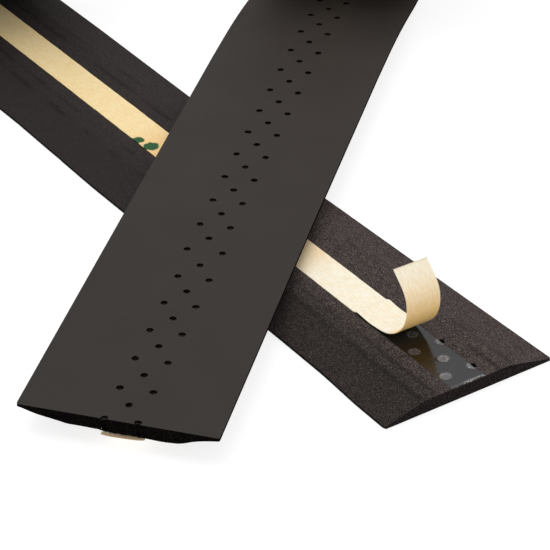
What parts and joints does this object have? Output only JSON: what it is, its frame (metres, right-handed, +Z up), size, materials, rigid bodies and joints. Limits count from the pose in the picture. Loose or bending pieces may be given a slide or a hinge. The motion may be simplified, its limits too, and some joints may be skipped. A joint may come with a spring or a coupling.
{
  "type": "grip tape roll",
  "caption": "Pair of perforated cushioned grip tapes, one crossed over the other, with the lower tape's backing paper peeled into a curl and the spare length wound into rolls.",
  "frame": {"origin": "where the centre lines of the two tapes cross, on the surface that the lower tape's skin lies on", "axes": "+Z up from that surface; +Y away from the loose near ends, towards the rolls; +X to the right of that"},
  "size_m": [0.131, 0.1897, 0.0592],
  "materials": {
    "tape_skin": "matte polyurethane skin, very fine grain",
    "cushion_foam": "speckled closed-cell foam",
    "adhesive_film": "glossy pressure-sensitive adhesive film",
    "release_paper": "smooth cream release paper"
  },
  "bodies": {
    "lower_tape": {"lower_run_skin": "tape_skin", "lower_run_foam": "cushion_foam", "lower_run_film": "adhesive_film", "lower_run_liner": "release_paper", "lower_roll_skin": "tape_skin", "lower_roll_foam": "cushion_foam", "lower_roll_film": "adhesive_film", "lower_roll_liner": "release_paper"},
    "lower_tape_end": {"lower_end_skin": "tape_skin", "lower_end_foam": "cushion_foam", "lower_end_film": "adhesive_film", "lower_end_liner": "release_paper"},
    "liner_flap_root": {"liner_flap_1": "release_paper"},
    "liner_flap_bend_1": {"liner_flap_2": "release_paper"},
    "liner_flap_bend_2": {"liner_flap_3": "release_paper"},
    "liner_flap_bend_3": {"liner_flap_4": "release_paper"},
    "liner_flap_bend_4": {"liner_flap_5": "release_paper"},
    "liner_flap_bend_5": {"liner_flap_6": "release_paper"},
    "liner_flap_bend_6": {"liner_flap_7": "release_paper"},
    "upper_tape": {"upper_run_skin": "tape_skin", "upper_run_foam": "cushion_foam", "upper_run_film": "adhesive_film", "upper_run_liner": "release_paper", "upper_ramp_skin": "tape_skin", "upper_ramp_foam": "cushion_foam", "upper_ramp_film": "adhesive_film", "upper_ramp_liner": "release_paper", "upper_roll_skin": "tape_skin", "upper_roll_foam": "cushion_foam", "upper_roll_film": "adhesive_film", "upper_roll_liner": "release_paper"},
    "upper_tape_end": {"upper_end_skin": "tape_skin", "upper_end_foam": "cushion_foam", "upper_end_film": "adhesive_film", "upper_end_liner": "release_paper"}
  },
  "joints": [
    {"name": "lower_end_lift", "type": "hinge", "parent": "lower_tape", "child": "lower_tape_end", "pos_m": [0.01893, -0.02801, 0.0023], "axis": [-0.8285, -0.5599, 0], "range_deg": [0, 20]},
    {"name": "flap_lift", "type": "hinge", "parent": "lower_tape_end", "child": "liner_flap_root", "pos_m": [0.02095, -0.031, 0.00224], "axis": [-0.8285, -0.5599, 0], "range_deg": [-2, 50], "stiffness_Nm_per_rad": 0.00005},
    {"name": "flap_curl_1", "type": "hinge", "parent": "liner_flap_root", "child": "liner_flap_bend_1", "pos_m": [0.0247, -0.03654, 0.00247], "axis": [-0.8285, -0.5599, 0], "range_deg": [-15, 3.75], "stiffness_Nm_per_rad": 0.00002},
    {"name": "flap_curl_2", "type": "hinge", "parent": "liner_flap_bend_1", "child": "liner_flap_bend_2", "pos_m": [0.02625, -0.03884, 0.00332], "axis": [-0.8285, -0.5599, 0], "range_deg": [-21, 5.25], "stiffness_Nm_per_rad": 0.00002},
    {"name": "flap_curl", "type": "hinge", "parent": "liner_flap_bend_2", "child": "liner_flap_bend_3", "pos_m": [0.02757, -0.0408, 0.00517], "axis": [-0.8285, -0.5599, 0], "range_deg": [-24, 6], "stiffness_Nm_per_rad": 0.00002},
    {"name": "flap_curl_4", "type": "hinge", "parent": "liner_flap_bend_3", "child": "liner_flap_bend_4", "pos_m": [0.02833, -0.04193, 0.00773], "axis": [-0.8285, -0.5599, 0], "range_deg": [-26, 6.5], "stiffness_Nm_per_rad": 0.00002},
    {"name": "flap_curl_5", "type": "hinge", "parent": "liner_flap_bend_4", "child": "liner_flap_bend_5", "pos_m": [0.02839, -0.042, 0.01033], "axis": [-0.8285, -0.5599, 0], "range_deg": [-24, 6], "stiffness_Nm_per_rad": 0.00002},
    {"name": "flap_curl_6", "type": "hinge", "parent": "liner_flap_bend_5", "child": "liner_flap_bend_6", "pos_m": [0.02792, -0.04132, 0.01237], "axis": [-0.8285, -0.5599, 0], "range_deg": [-24, 6], "stiffness_Nm_per_rad": 0.00002},
    {"name": "upper_tape_lift_off", "type": "slide", "parent": "lower_tape", "child": "upper_tape", "axis": [0, 0, 1], "range_m": [0, 0.06]},
    {"name": "upper_end_lift", "type": "hinge", "parent": "upper_tape", "child": "upper_tape_end", "pos_m": [-0.00521, -0.02145, 0.0047], "axis": [-0.9718, 0.2358, 0], "range_deg": [0, 20]}
  ],
  "couplings": [
    {"joint": "flap_curl_1", "follows": "flap_curl", "ratio": 0.625},
    {"joint": "flap_curl_2", "follows": "flap_curl", "ratio": 0.875},
    {"joint": "flap_curl_4", "follows": "flap_curl", "ratio": 1.0833},
    {"joint": "flap_curl_5", "follows": "flap_curl", "ratio": 1},
    {"joint": "flap_curl_6", "follows": "flap_curl", "ratio": 1}
  ]
}
